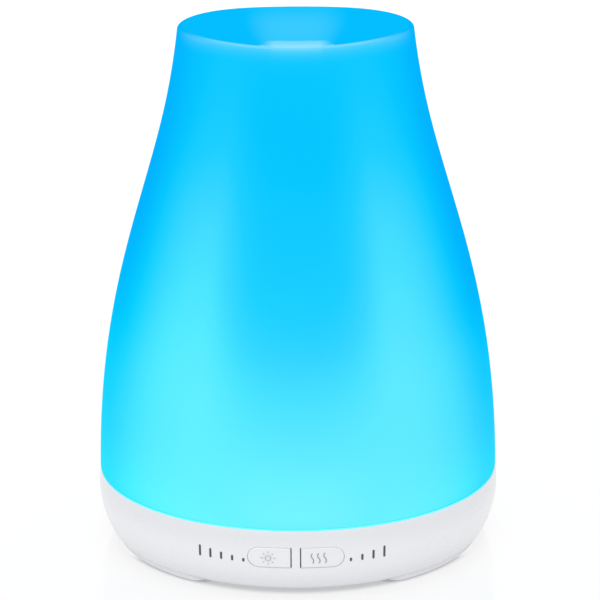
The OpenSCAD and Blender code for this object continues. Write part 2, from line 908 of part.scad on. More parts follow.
module power_leads() {
    turn = [19.5, 22, 8]; // where the leads pass between the fan and a screw boss
    start_y = jack_y - jack_len - wire_lift + 0.05;
    color("black") for (s = [-1, 1]) {
        wire([s * 1.6, start_y, plug_z], [s * 1.6, 30, 12.4],
            turn + [s * 0.8, 12, 6], turn + [s * 0.8, 0, 0]);
        wire(turn + [s * 0.8, 0, 0], turn + [s * 0.8, -14, -5],
            over(power_plug, 21, s * 0.8), over(power_plug, wire_end_z, s * 0.8));
    }
}

module led_leads() {
    start = [-36.5, -14, led_board_z - wire_lift];
    color("white") for (dy = [-wire_pitch, wire_pitch])
        wire(start + [0, dy, 0], [-36, -14 + dy, 11],
            over(light_plug, 17, 0, dy), over(light_plug, wire_end_z, 0, dy));
}

module button_leads() {
    start = [8, wire_lift - button_board_back, 8];
    color("black") for (dx = [-wire_pitch, wire_pitch])
        wire(start + [dx, 0, 0], [8 + dx, -31, 8],
            over(button_plug, 21, dx), over(button_plug, wire_end_z, dx));
}

// ---------------------------------------------------------------- nodes

outer_cover();
mist_chimney();
base_shell();
rubber_feet();
bottom_plate();
case_screws();
light_button();
mist_button();
button_board();
light_switch_body();
mist_switch_body();
light_switch_plunger();
mist_switch_plunger();
water_tank();
tank_seal();
ultrasonic_disc();
disc_seal();
disc_retainer();
retainer_screws();
led_board();
leds();
main_board();
driver_coil();
power_transistor();
transistor_heatsink();
capacitors();
control_chip();
board_connectors();
board_screws();
fan_frame();
fan_bearing();
fan_stator();
fan_rotor();
fan_shaft();
fan_screws();
dc_jack_body();
dc_jack_pin();
transducer_leads();
fan_leads();
power_leads();
led_leads();
button_leads();
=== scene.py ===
"""The looks of a table-top essential oil diffuser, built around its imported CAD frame.

Everything is in metres in the CAD's frame: +Z up, the front towards -Y, the table at z = 0.
Lengths that belong to the design are written in millimetres and multiplied by MM.
"""

import json
import math

import bmesh
import bpy
from mathutils import Matrix, Vector


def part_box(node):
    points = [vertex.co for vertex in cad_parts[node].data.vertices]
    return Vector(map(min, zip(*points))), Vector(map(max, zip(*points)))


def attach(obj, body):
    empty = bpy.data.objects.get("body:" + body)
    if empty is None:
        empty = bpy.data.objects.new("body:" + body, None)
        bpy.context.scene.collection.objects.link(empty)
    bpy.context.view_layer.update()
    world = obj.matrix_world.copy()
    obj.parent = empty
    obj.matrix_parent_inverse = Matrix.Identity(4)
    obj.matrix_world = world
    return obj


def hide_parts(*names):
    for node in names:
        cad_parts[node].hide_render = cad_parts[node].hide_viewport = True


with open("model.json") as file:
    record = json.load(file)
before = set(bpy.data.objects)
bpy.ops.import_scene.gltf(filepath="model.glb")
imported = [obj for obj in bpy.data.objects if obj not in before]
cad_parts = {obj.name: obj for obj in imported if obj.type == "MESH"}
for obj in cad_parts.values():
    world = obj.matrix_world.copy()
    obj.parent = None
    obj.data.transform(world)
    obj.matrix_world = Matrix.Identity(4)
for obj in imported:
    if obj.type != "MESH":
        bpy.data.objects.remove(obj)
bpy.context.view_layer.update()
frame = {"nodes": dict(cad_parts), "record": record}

MM = 0.001
cover_low, cover_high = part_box("outer_cover")
base_low, base_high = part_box("base_shell")

# ---------------------------------------------------------------- sizes shared by several pieces

SEAM_Z = cover_low[2]
CREST_Z = cover_high[2]
COVER_H = CREST_Z - SEAM_Z
SEAM_R = (cover_high[0] - cover_low[0]) / 2
RIM_R = 28.8 * MM
COVER_WALL = 1.8 * MM
COVER_FOOT = 0.35 * MM
DISH_DEPTH = 10 * MM
OUTLET_R = 9 * MM
LIP_X = 0.6 * MM
LIP_HALF_W = 8.9 * MM
LIP_DEPTH = 7.5 * MM
LIP_CORNER_R = 2.5 * MM
LIP_RISE = 0.5 * MM
LIP_BLEND = 1.1 * MM

BASE_TOP = base_high[2]
BASE_BOTTOM = base_low[2]
BASE_ARC_R = 22.6 * MM
BASE_ARC_X = 27.8 * MM
BASE_ARC_Z = 13.6 * MM
BASE_WALL = 2 * MM
PLATE_R = 37.7 * MM
PLATE_TOP = 3 * MM
BASE_FOOT_ROUND = 0.9 * MM
BASE_LIP_ROUND = 0.3 * MM

BUTTON_Z = 10.5 * MM
BUTTON_W = 10.25 * MM
BUTTON_H = 5.3 * MM
BAR_W = 2.5 * MM
BUTTON_PROUD = 0.15 * MM
BUTTON_EDGE_R = 0.4 * MM
FLANGE_OUT = 0.7 * MM
FLANGE_FRONT = 2.1 * MM
FLANGE_BACK = 2.6 * MM
WINDOW_GAP = 0.05 * MM
FLAT_GAP = 0.28 * MM
PLUG_R = 4 * MM
PLUG_Z = 9.8 * MM
PLUG_FACE_Y = 48.4 * MM

CAMERA_LENS_MM = 153.5
CAMERA_SENSOR_MM = 36
CAMERA_DISTANCE = 639.8 * MM
CAMERA_ELEVATION = math.radians(16.13)
CAMERA_AZIMUTH = math.radians(0.68)
CAMERA_ROLL = math.radians(-0.30)
CAMERA_AIM_X = 0.72 * MM
CAMERA_AIM_OVER_SEAM = 42.3 * MM


# ---------------------------------------------------------------- mesh helpers


def mix(a, b, t):
    """a where t is 0 and b where t is 1."""
    return a + (b - a) * t


def smoothstep(low, high, x):
    """0 at low, 1 at high and smooth between them. Low may be above high."""
    t = min(max((x - low) / (high - low), 0.0), 1.0)
    return t * t * (3 - 2 * t)


def bezier(t, a, b, c, d):
    """Point at t of a cubic curve with ends a and d and handles b and c."""
    return [
        (1 - t) ** 3 * p + 3 * t * (1 - t) ** 2 * q + 3 * t * t * (1 - t) * r + t ** 3 * s
        for p, q, r, s in zip(a, b, c, d)
    ]


def arc(centre, radius, start, end, steps):
    """Points of a circular arc in the (r, z) plane, angles in degrees."""
    points = []
    for i in range(steps + 1):
        a = math.radians(mix(start, end, i / steps))
        points.append((centre[0] + radius * math.cos(a), centre[1] + radius * math.sin(a)))
    return points


def add_mesh(name, vertices, faces, sharp_deg=35):
    """A smooth-shaded mesh object with its outward normals made consistent."""
    mesh = bpy.data.meshes.new(name)
    mesh.from_pydata([tuple(v) for v in vertices], [], faces)
    work = bmesh.new()
    work.from_mesh(mesh)
    bmesh.ops.remove_doubles(work, verts=work.verts, dist=1e-7)
    bmesh.ops.recalc_face_normals(work, faces=work.faces)
    work.to_mesh(mesh)
    work.free()
    mesh.shade_smooth()
    mesh.set_sharp_from_angle(angle=math.radians(sharp_deg))
    obj = bpy.data.objects.new(name, mesh)
    bpy.context.scene.collection.objects.link(obj)
    return obj


def even_turn(count):
    """Angles of count even steps round a full turn."""
    return [2 * math.pi * i / count for i in range(count)]


def lathe(name, outline, turn, sharp_deg):
    """Spins a closed (r, z) outline about the Z axis. Angle 0 is the front, towards -Y."""
    rings, count = len(turn), len(outline)
    vertices = [(r * math.sin(a), -r * math.cos(a), z) for a in turn for r, z in outline]
    faces = []
    for i in range(rings):
        for j in range(count):
            k, m = (i + 1) % rings, (j + 1) % count
            faces.append((i * count + j, k * count + j, k * count + m, i * count + m))
    return add_mesh(name, vertices, faces, sharp_deg)


def apply_modifiers(obj):
    """Replaces the object's mesh by what its modifiers make of it."""
    graph = bpy.context.evaluated_depsgraph_get()
    mesh = bpy.data.meshes.new_from_object(obj.evaluated_get(graph))
    obj.modifiers.clear()
    obj.data = mesh


def cut_away(obj, cutters):
    """Cuts each cutter out of the object and removes the cutter."""
    for cutter in cutters:
        cut = obj.modifiers.new("cut", "BOOLEAN")
        cut.operation = "DIFFERENCE"
        cut.solver = "EXACT"
        cut.object = cutter
        apply_modifiers(obj)
        bpy.data.objects.remove(cutter)


def skin(rings):
    """Vertices and faces of a closed solid through a stack of rings of equal length."""
    count = len(rings[0])
    vertices = [p for ring in rings for p in ring]
    faces = [tuple(range(count))]
    for i in range(len(rings) - 1):
        for j in range(count):
            k = (j + 1) % count
            faces.append((i * count + j, i * count + k, (i + 1) * count + k, (i + 1) * count + j))
    faces.append(tuple(reversed(range((len(rings) - 1) * count, len(rings) * count))))
    return vertices, faces


def prism(name, ring, depth_vector):
    """Closed solid between a ring of points and the same ring moved by depth_vector."""
    near = [Vector(p) for p in ring]
    return add_mesh(name, *skin([near, [p + depth_vector for p in near]]))


def tube(points, radius):
    """Vertices and faces of a round stroke through points that narrows at its ends."""
    sides, end_taper = 8, 0.35
    points = [Vector(p) for p in points]
    rings = []
    for i, p in enumerate(points):
        before, after = points[max(i - 1, 0)], points[min(i + 1, len(points) - 1)]
        along = (after - before).normalized()
        side = along.cross(Vector((0, 1, 0))).normalized()
        up = side.cross(along)
        r = radius * (end_taper if i in (0, len(points) - 1) else 1.0)
        rings.append([p + (side * math.cos(a) + up * math.sin(a)) * r for a in even_turn(sides)])
    return skin(rings)


def join_parts(name, parts, sharp_deg=50):
    """One mesh object from several (vertices, faces) lists."""
    vertices, faces = [], []
    for part_vertices, part_faces in parts:
        offset = len(vertices)
        vertices += part_vertices
        faces += [tuple(i + offset for i in face) for face in part_faces]
    return add_mesh(name, vertices, faces, sharp_deg)


# ---------------------------------------------------------------- material helpers

FINE_GRAIN = 0.02 * MM


class Nodes:
    """A material's node tree with short calls for the nodes used here."""

    def __init__(self, name):
        self.material = bpy.data.materials.new(name)
        self.material.use_nodes = True
        self.tree = self.material.node_tree
        self.shader = self.tree.nodes["Principled BSDF"]
        self.place = self.add("ShaderNodeTexCoord").outputs["Object"]

    def add(self, kind, **values):
        node = self.tree.nodes.new(kind)
        for key, value in values.items():
            setattr(node, key, value)
        return node

    def link(self, source, target):
        self.tree.links.new(source, target)

    def feed(self, socket, value):
        if isinstance(value, bpy.types.NodeSocket):
            self.link(value, socket)
        else:
            socket.default_value = value

    def math(self, operation, a, b=0.0, clamp=False):
        node = self.add("ShaderNodeMath", operation=operation, use_clamp=clamp)
        self.feed(node.inputs[0], a)
        self.feed(node.inputs[1], b)
        return node.outputs[0]

    def blend(self, t, a, b):
        """a where t is 0 and b where t is 1, for plain numbers."""
        node = self.add("ShaderNodeMix", data_type="FLOAT")
        self.feed(node.inputs[0], t)
        self.feed(node.inputs[2], a)
        self.feed(node.inputs[3], b)
        return node.outputs[0]

    def blend_colour(self, t, a, b):
        node = self.add("ShaderNodeMix", data_type="RGBA")
        self.feed(node.inputs[0], t)
        self.feed(node.inputs[6], a)
        self.feed(node.inputs[7], b)
        return node.outputs[2]

    def turn_hue(self, colour, degrees):
        """The colour moved round the colour wheel: negative degrees make a blue greener."""
        node = self.add("ShaderNodeHueSaturation")
        self.link(colour, node.inputs["Color"])
        self.feed(node.inputs["Hue"], self.math("ADD", 0.5, self.math("DIVIDE", degrees, 360)))
        return node.outputs["Color"]

    def smooth(self, value, low, high):
        """0 below low, 1 above high, and smooth between them. Low may be above high."""
        node = self.add("ShaderNodeMapRange", interpolation_type="SMOOTHSTEP")
        flip = low > high
        self.feed(node.inputs["Value"], value)
        node.inputs["From Min"].default_value = high if flip else low
        node.inputs["From Max"].default_value = low if flip else high
        node.inputs["To Min"].default_value = 1.0 if flip else 0.0
        node.inputs["To Max"].default_value = 0.0 if flip else 1.0
        return node.outputs[0]

    def curve(self, value, points):
        """A smooth curve of value through (x, y) points, for x and y from 0 to 1."""
        node = self.add("ShaderNodeFloatCurve")
        line = node.mapping.curves[0]
        line.points[0].location = points[0]
        line.points[1].location = points[-1]
        for x, y in points[1:-1]:
            line.points.new(x, y)
        node.mapping.update()
        self.feed(node.inputs["Value"], value)
        return node.outputs[0]

    def ramp(self, value, stops):
        """A colour ramp through (position, colour) stops."""
        node = self.add("ShaderNodeValToRGB")
        elements = node.color_ramp.elements
        elements[0].position, elements[0].color = stops[0]
        elements[1].position, elements[1].color = stops[-1]
        for position, colour in stops[1:-1]:
            elements.new(position).color = colour
        self.feed(node.inputs[0], value)
        return node.outputs[0]

    def noise(self, scale, detail=3.0):
        node = self.add("ShaderNodeTexNoise")
        self.link(self.place, node.inputs["Vector"])
        node.inputs["Scale"].default_value = scale
        node.inputs["Detail"].default_value = detail
        return node.outputs["Fac"]

    def bump(self, height, strength, distance):
        node = self.add("ShaderNodeBump")
        node.inputs["Strength"].default_value = strength
        node.inputs["Distance"].default_value = distance
        self.link(height, node.inputs["Height"])
        self.link(node.outputs["Normal"], self.shader.inputs["Normal"])

    def axes(self):
        node = self.add("ShaderNodeSeparateXYZ")
        self.link(self.place, node.inputs[0])
        return node.outputs[0], node.outputs[1], node.outputs[2]

    def facing(self):
        """1 where the surface faces the viewer and 0 where it is seen edge-on."""
        node = self.add("ShaderNodeLayerWeight")
        node.inputs["Blend"].default_value = 0.5
        return self.math("SUBTRACT", 1.0, node.outputs["Facing"])

    def stored(self, name):
        """A number kept on the mesh's vertices."""
        return self.add("ShaderNodeAttribute", attribute_name=name).outputs["Fac"]

    def near(self):
        """1 on the side of the Z axis towards the viewer, and -1 on the far side."""
        flat = []
        for source in (self.place, self.add("ShaderNodeNewGeometry").outputs["Incoming"]):
            drop_z = self.add("ShaderNodeVectorMath", operation="MULTIPLY")
            self.link(source, drop_z.inputs[0])
            drop_z.inputs[1].default_value = (1, 1, 0)
            unit = self.add("ShaderNodeVectorMath", operation="NORMALIZE")
            self.link(drop_z.outputs[0], unit.inputs[0])
            flat.append(unit.outputs[0])
        dot = self.add("ShaderNodeVectorMath", operation="DOT_PRODUCT")
        self.link(flat[0], dot.inputs[0])
        self.link(flat[1], dot.inputs[1])
        return dot.outputs["Value"]


def srgb(red, green, blue):
    """A shader colour from 8-bit display values."""

    def linear(c):
        c /= 255
        return c / 12.92 if c <= 0.04045 else ((c + 0.055) / 1.055) ** 2.4

    return (linear(red), linear(green), linear(blue), 1.0)


def plain(name, colour, roughness, metallic=0.0, grain=9000, variation=0.06, bump=0.03, coat=0.0):
    """Moulded or machined stuff: slight mottling, uneven gloss and a fine surface grain."""
    n = Nodes(name)
    tone = n.noise(140, 4)
    dark = tuple(c * (1 - variation) for c in colour[:3]) + (1.0,)
    n.feed(n.shader.inputs["Base Color"], n.blend_colour(tone, dark, colour))
    n.feed(n.shader.inputs["Roughness"], n.blend(n.noise(320, 2), roughness * 0.85, roughness * 1.15))
    n.feed(n.shader.inputs["Metallic"], metallic)
    n.feed(n.shader.inputs["Coat Weight"], coat)
    n.bump(n.noise(grain, 2), bump, FINE_GRAIN)
    return n.material


# ---------------------------------------------------------------- materials of the cover

# From the deepest blue of the lit cover to its palest
GLOW_COLOURS = [
    (0.0, srgb(3, 180, 251)),
    (0.125, srgb(4, 190, 252)),
    (0.25, srgb(8, 200, 252)),
    (0.375, srgb(30, 208, 253)),
    (0.5, srgb(56, 215, 254)),
    (0.625, srgb(75, 226, 254)),
    (0.75, srgb(93, 233, 253)),
    (0.875, srgb(107, 241, 254)),
    (1.0, srgb(124, 249, 254)),
]
PALE_GLOW = srgb(172, 243, 255)


def lit_plastic(name, glow):
    """Frosted plastic lit from within.

    glow is a function of the node tree. It gives how light the colour is, how pale it is, and
    how many degrees its hue is turned.
    """
    n = Nodes(name)
    value, pale, hue = glow(n)
    value = n.math("ADD", value, n.blend(n.noise(60, 3), -0.012, 0.012), clamp=True)
    near = n.near()
    line = n.math("MULTIPLY", n.stored("rim_light"), n.smooth(near, 0.3, 0.92))
    tail = n.math("MULTIPLY", n.stored("rim_tail"), n.smooth(near, 0.15, 0.6))
    edge = n.math("MAXIMUM", n.stored("lip_light"), n.math("MAXIMUM", line, tail))
    pale = n.math("ADD", pale, edge, clamp=True)
    colour = n.blend_colour(pale, n.turn_hue(n.ramp(value, GLOW_COLOURS), hue), PALE_GLOW)
    n.feed(n.shader.inputs["Emission Color"], colour)
    n.feed(n.shader.inputs["Emission Strength"], 1.0)
    n.feed(n.shader.inputs["Base Color"], srgb(0, 24, 50))
    n.feed(n.shader.inputs["Roughness"], n.blend(n.noise(500, 2), 0.5, 0.6))
    n.feed(n.shader.inputs["Specular IOR Level"], 0.0)
    n.bump(n.noise(9000, 2), 0.02, FINE_GRAIN)
    return n.material


def wall_glow(n):
    """Brightest by the lights at the bottom, darker up the wall and where it turns away.

    The chimney inside leaves a darker stripe down the middle, whichever side is looked at. The
    light is greener low down on the flanks, and on the left.
    """
    x, _, z = n.axes()
    height = n.math("DIVIDE", n.math("SUBTRACT", z, SEAM_Z), COVER_H, clamp=True)
    facing = n.facing()
    edge = n.curve(height, [(0, 0.47), (0.15, 0.40), (0.3, 0.26), (0.46, 0.04), (0.64, 0), (1, 0.05)])
    lobe = n.curve(height, [(0, 0.87), (0.15, 0.80), (0.3, 0.76), (0.46, 0.66), (0.64, 0.54),
                            (0.82, 0.35), (1, 0.27)])
    stripe = n.curve(height, [(0, 1.0), (0.08, 0.92), (0.15, 0.80), (0.3, 0.58), (0.46, 0.37),
                              (0.64, 0.29), (0.82, 0.23), (1, 0.28)])
    turned = n.blend(n.smooth(facing, 0.20, 0.85), edge, lobe)
    low = n.math("MULTIPLY", n.smooth(height, 0.16, -0.02), n.smooth(facing, 0.95, 0.5))
    left = n.math("MULTIPLY", n.smooth(height, 0.7, 0.35), n.smooth(x, 5 * MM, -30 * MM))
    hue = n.math("ADD", n.blend(low, 0.0, -5.5), n.blend(left, 0.8, -2.6))
    return n.blend(n.smooth(facing, 0.85, 0.998), turned, stripe), 0.0, hue


def dish_glow(n):
    """The dish is dark at its sides and catches light in the middle of its far wall."""
    z = n.axes()[2]
    far = n.smooth(n.near(), -0.87, -1.0)
    depth = n.math("DIVIDE", n.math("SUBTRACT", CREST_Z, z), DISH_DEPTH, clamp=True)
    low = n.curve(depth, [(0, 0.2), (0.12, 0.4), (0.25, 0.7), (0.45, 0.95), (0.7, 0.85), (1, 0.6)])
    return n.blend(far, 0.11, 0.2), n.math("MULTIPLY", n.math("MULTIPLY", far, low), 0.1), 0.0


# ---------------------------------------------------------------- other materials


def glossy_white(name):
    """Smooth white moulded plastic with painted light: a little brighter round its middle, with
    painted shade above and below.
    """
    n = Nodes(name)
    z = n.axes()[2]
    # Painted light: a brighter band round 8.5 mm up, fading to painted shade towards the seam and the
    # bottom; noise patches make the band uneven.
    away = n.math("ABSOLUTE", n.math("SUBTRACT", z, 8.5 * MM))
    patches = n.blend(n.noise(30, 2), -0.1, 0.1)
    middle = n.math("ADD", n.smooth(away, 8 * MM, 1 * MM), patches, clamp=True)
    colour = n.blend_colour(middle, srgb(226, 227, 231), srgb(238, 238, 241))
    n.feed(n.shader.inputs["Base Color"], colour)
    n.feed(n.shader.inputs["Roughness"], n.blend(n.noise(90, 3), 0.24, 0.30))
    n.feed(n.shader.inputs["Specular IOR Level"], 0.4)
    n.bump(n.noise(900, 2), 0.02, FINE_GRAIN)
    return n.material


def clear_plastic(name):
    """Milky translucent plastic that pipes the lights' colour: brightest at the tank's rim."""
    n = Nodes(name)
    z = n.axes()[2]
    n.feed(n.shader.inputs["Base Color"], srgb(176, 230, 244))
    n.feed(n.shader.inputs["Roughness"], n.blend(n.noise(300, 2), 0.28, 0.38))
    n.feed(n.shader.inputs["Transmission Weight"], 0.6)
    n.feed(n.shader.inputs["IOR"], 1.3)
    n.feed(n.shader.inputs["Emission Color"], srgb(70, 226, 254))
    body = n.blend(n.smooth(z, 60 * MM, 20 * MM), 0.03, 0.2)
    at_rim = n.smooth(z, 20 * MM, 18 * MM)
    n.feed(n.shader.inputs["Emission Strength"], n.blend(at_rim, body, 0.55))
    n.bump(n.noise(2500, 2), 0.04, 0.03 * MM)
    return n.material


def circuit_board(name, colour, track):
    """Solder mask over a grid of tracks and pads."""
    n = Nodes(name)
    tracks = n.add("ShaderNodeTexBrick")
    n.link(n.place, tracks.inputs["Vector"])
    tracks.inputs["Scale"].default_value = 260
    tracks.inputs["Mortar Size"].default_value = 0.06
    tracks.inputs["Color1"].default_value = colour
    tracks.inputs["Color2"].default_value = tuple(c * 0.9 for c in colour[:3]) + (1.0,)
    tracks.inputs["Mortar"].default_value = track
    n.link(tracks.outputs["Color"], n.shader.inputs["Base Color"])
    n.feed(n.shader.inputs["Roughness"], n.blend(n.noise(400, 2), 0.25, 0.4))
    n.bump(tracks.outputs["Fac"], 0.2, 0.03 * MM)
    return n.material


def windings(name):
    """Enamelled copper wire wound round a core."""
    n = Nodes(name)
    wave = n.add("ShaderNodeTexWave")
    wave.bands_direction = "Z"
    wave.inputs["Scale"].default_value = 900
    wave.inputs["Distortion"].default_value = 0.4
    n.link(n.place, wave.inputs["Vector"])
    colour = n.blend_colour(wave.outputs["Fac"], srgb(120, 55, 25), srgb(205, 120, 70))
    n.feed(n.shader.inputs["Base Color"], colour)
    n.feed(n.shader.inputs["Metallic"], 0.8)
    n.feed(n.shader.inputs["Roughness"], 0.35)
    n.bump(wave.outputs["Fac"], 0.5, 0.1 * MM)
    return n.material


def lamp(name):
    """Phosphor window of a light, in the colour that the lights are set to."""
    n = Nodes(name)
    colour = n.blend_colour(n.noise(900, 2), srgb(230, 225, 150), srgb(250, 246, 190))
    n.feed(n.shader.inputs["Base Color"], colour)
    n.feed(n.shader.inputs["Roughness"], 0.3)
    n.feed(n.shader.inputs["Emission Color"], srgb(120, 245, 255))
    n.feed(n.shader.inputs["Emission Strength"], n.blend(n.noise(500, 2), 1.2, 1.6))
    return n.material


MATERIALS = {
    "cover_frost": lit_plastic("frosted_wall", wall_glow),
    "cover_dish": lit_plastic("frosted_dish", dish_glow),
    "white_shell": glossy_white("white_shell"),
    "white_inner": plain("white_inner", srgb(226, 226, 224), 0.5),
    "clear_tank": clear_plastic("clear_tank"),
    "rubber_grey": plain("rubber_grey", srgb(232, 232, 236), 0.75, grain=4000, bump=0.2),
    "rubber_black": plain("rubber_black", srgb(38, 38, 40), 0.7, grain=4000, bump=0.2),
    "steel": plain("steel", srgb(190, 192, 196), 0.3, metallic=1.0),
    "black_plastic": plain("black_plastic", srgb(36, 36, 39), 0.45, grain=5000, bump=0.12),
    "circuit_green": circuit_board("circuit_green", srgb(24, 96, 52), srgb(60, 140, 84)),
    "circuit_white": circuit_board("circuit_white", srgb(232, 232, 228), srgb(206, 206, 200)),
    "light_yellow": lamp("light_window"),
    "copper": windings("copper_windings"),
    "bronze": plain("bronze", srgb(176, 134, 72), 0.4, metallic=1.0),
    "aluminium": plain("aluminium", srgb(200, 202, 205), 0.35, metallic=1.0),
    "capacitor_blue": plain("capacitor_blue", srgb(44, 56, 110), 0.3, coat=0.3),
    "ceramic_disc": plain("ceramic_disc", srgb(214, 200, 150), 0.22, metallic=0.7),
    "connector_ivory": plain("connector_ivory", srgb(232, 226, 200), 0.5),
    "lead_red": plain("lead_red", srgb(170, 28, 24), 0.5),
    "lead_black": plain("lead_black", srgb(30, 30, 32), 0.5),
    "lead_white": plain("lead_white", srgb(226, 226, 226), 0.5),
    "ink": plain("printed_ink", srgb(84, 84, 90), 0.6, variation=0.15, bump=0.05),
    # The icons' greys are painted shade, standing in for the shading of their raised strokes.
    "icon_light": plain("icon_light", srgb(196, 196, 198), 0.5),
    "icon_mist": plain("icon_mist", srgb(156, 156, 158), 0.5),
}


def finish_cad_nodes():
    """Gives every CAD node the material of its slot in the record."""
    for part in frame["record"]["subparts"]:
        node = frame["nodes"][part["node"]]
        node.data.materials.clear()
        node.data.materials.append(MATERIALS[part["material_slot"]])


def finish_piece(piece, body, slot, *nodes):
    """A new piece rides on a body, takes a slot's material and stands for CAD nodes."""
    if not piece.data.materials:
        piece.data.materials.append(MATERIALS[slot])
    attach(piece, body)
    if nodes:
        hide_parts(*nodes)


# ---------------------------------------------------------------- cover


def cover_wall_point(t, inset=0.0):
    """Point t of the way up the cover's outer curve, moved in by inset along its normal."""
    handles = (
        (SEAM_R, 0.0),
        (SEAM_R - 0.7 * MM, COVER_H * 0.485),
        (RIM_R + 4.3 * MM, COVER_H * 0.665),
        (RIM_R, COVER_H - COVER_WALL / 2),
    )
    r, z = bezier(t, *handles)
    if inset:
        r2, z2 = bezier(t + 0.001, *handles)
        length = math.hypot(r2 - r, z2 - z)
        r, z = r - inset * (z2 - z) / length, z + inset * (r2 - r) / length
    return (r, SEAM_Z + z)


def dish_point(a_deg, drop=0.0):
    """Point of the dish: 0 degrees is at the rim and 90 at the outlet."""
    a = math.radians(a_deg)
    rim = RIM_R - COVER_WALL
    top = CREST_Z - COVER_WALL / 2
    return (
        OUTLET_R + (rim - OUTLET_R) * math.cos(a) - drop * 0.4 * math.cos(a),
        top - (DISH_DEPTH - COVER_WALL / 2) * math.sin(a) - drop,
    )


WALL_STEPS = 84
CREST_STEPS = 16
DISH_STEPS = 44
FRONT_OF_DISH_Y = -15 * MM


def cover_outline():
    """Closed outline of the cover, and how many of its points belong to the outer wall."""
    wall = [
        (SEAM_R - COVER_FOOT, SEAM_Z),
        (SEAM_R - COVER_FOOT * 0.3, SEAM_Z + COVER_FOOT * 0.3),
    ]
    heights = [mix(1, 0.004, (1 - i / WALL_STEPS) ** 1.4) for i in range(WALL_STEPS + 1)]
    wall += [cover_wall_point(t) for t in heights]
    crest_centre = (RIM_R - COVER_WALL / 2, CREST_Z - COVER_WALL / 2)
    crest = arc(crest_centre, COVER_WALL / 2, 0, 180, CREST_STEPS)[1:]
    dish = [dish_point(90 * (i / DISH_STEPS) ** 1.15) for i in range(1, DISH_STEPS + 1)]
    dish += [dish_point(90 - i * 4, COVER_WALL) for i in range(0, 17)]
    inside = [cover_wall_point(mix(0.93, 0.02, i / 30), COVER_WALL) for i in range(31)]
    inside += [(cover_wall_point(0, COVER_WALL)[0], SEAM_Z)]
    return wall + crest + dish + inside, len(wall)


def cover_turn():
    """Angles round the cover, closer together in front where the lip is."""
    front_steps, back_steps = 96, 176
    fine = math.radians(26)
    front = [mix(-fine, fine, i / front_steps) for i in range(front_steps)]
    back = [mix(fine, 2 * math.pi - fine, i / back_steps) for i in range(back_steps)]
    return front + back


def lip_mask(x, y):
    """1 inside the lip's rounded plan, 0 outside, with a soft border."""
    dx = abs(x) - (LIP_HALF_W - LIP_CORNER_R)
    dy = (y + RIM_R) - (LIP_DEPTH - LIP_CORNER_R)
    outside = math.hypot(max(dx, 0), max(dy, 0)) + min(max(dx, dy), 0) - LIP_CORNER_R
    return smoothstep(LIP_BLEND / 2, -LIP_BLEND / 2, outside)


def rim_wave(x, y):
    """The rim isn't quite flat: it dips in front and a little at the back."""
    a = math.atan2(x, -y)
    return (0.40 - 0.05 * math.cos(a) - 0.22 * math.cos(2 * a) - 0.12 * math.cos(4 * a)) * MM


def shape_rim(cover):
    """Bends the cover's top by the rim's wave, which fades out down the wall."""
    start, full = CREST_Z - 24 * MM, CREST_Z - 3 * MM
    for v in cover.data.vertices:
        v.co.z += rim_wave(v.co.x, v.co.y) * smoothstep(start, full, v.co.z)


def shape_lip(cover, outline, wall_points):
    """Moves the vertices of the crest and of the dish's top side onto the lip's ramp."""
    count = len(outline)
    top_side = range(wall_points + CREST_STEPS // 3, wall_points + CREST_STEPS + DISH_STEPS)
    for index, v in enumerate(cover.data.vertices):
        if index % count not in top_side or v.co.y > FRONT_OF_DISH_Y:
            continue
        ramp = CREST_Z + LIP_RISE * (v.co.y + RIM_R) / LIP_DEPTH
        v.co.z = mix(v.co.z, ramp, lip_mask(v.co.x - LIP_X, v.co.y))


def store(obj, name, values):
    """Keeps a number on each vertex, for a material to read."""
    obj.data.attributes.new(name, "FLOAT", "POINT").data.foreach_set("value", values)


# How pale the lit edges get, from 0 to 1, and how far down the wall each glow reaches
CREST_PALE = 0.42
UNDER_CREST_PALE = 0.1
LIP_FRONT_PALE = 0.72
LIP_BACK_PALE = 0.34
UNDER_LIP_PALE = 0.52
UNDER_CREST_REACH = 0.7 * MM
UNDER_LIP_REACH = 0.85 * MM
HAZE_REACH = 4 * MM


def light_edges(cover, outline, wall_points):
    """Keeps on each vertex how pale it is: along the rim's crest, below it, and by the lip."""
    count = len(outline)
    rim, below_rim, lip = [], [], []
    for index, v in enumerate(cover.data.vertices):
        step = index % count
        outside = step < wall_points + CREST_STEPS // 3
        drop = max(CREST_Z + rim_wave(v.co.x, v.co.y) - v.co.z, 0)
        haze = max(1 - drop / HAZE_REACH, 0) ** 1.5
        turn = 180 * (step - wall_points + 1) / CREST_STEPS
        rim.append(CREST_PALE * smoothstep(0, 50, turn) * smoothstep(180, 140, turn))
        tail = 0.075 * haze + min(0.3 * math.exp(-drop / UNDER_CREST_REACH), UNDER_CREST_PALE)
        below_rim.append(tail if outside else 0)
        across = smoothstep(8.8 * MM, 5 * MM, abs(v.co.x - LIP_X))
        behind = min(max((v.co.y + RIM_R) / LIP_DEPTH, 0), 1.4)
        top = mix(LIP_FRONT_PALE, LIP_BACK_PALE, behind) * smoothstep(1.15, 0.9, behind)
        below = UNDER_LIP_PALE * math.exp(-drop / UNDER_LIP_REACH) + 0.028 * haze
        lip.append(across * (below if outside else top) if v.co.y < FRONT_OF_DISH_Y else 0)
    store(cover, "rim_light", rim)
    store(cover, "rim_tail", below_rim)
    store(cover, "lip_light", lip)


